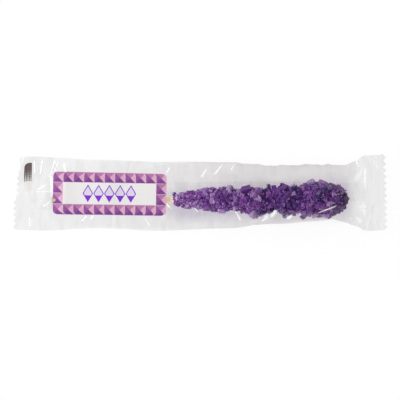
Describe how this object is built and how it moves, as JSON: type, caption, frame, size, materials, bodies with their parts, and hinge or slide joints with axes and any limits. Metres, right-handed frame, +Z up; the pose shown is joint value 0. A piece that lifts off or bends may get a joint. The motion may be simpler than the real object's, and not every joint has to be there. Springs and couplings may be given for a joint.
{
  "type": "wrapped rock candy stick",
  "caption": "Rock candy crystals grown on a wooden stick, sealed in a clear flow-wrap tube with zigzag-cut end seals and a sticker on the front.",
  "frame": {"origin": "under the middle of the lying pack, on the surface that it rests on", "axes": "+X along the pack from the label end to the candy's head, +Z up out of the pack's front, +Y across the pack"},
  "size_m": [0.22, 0.0446, 0.0223],
  "materials": {
    "clear_film": "clear glossy plastic film, flow-wrapped",
    "printed_label": "printed paper sticker, satin",
    "sugar_crystal": "purple sugar crystals",
    "birch_stick": "plain turned wood",
    "film_print": "dark ink printed on the film"
  },
  "bodies": {
    "root": {"film_bag": "clear_film", "label": "printed_label"}
  },
  "joints": []
}
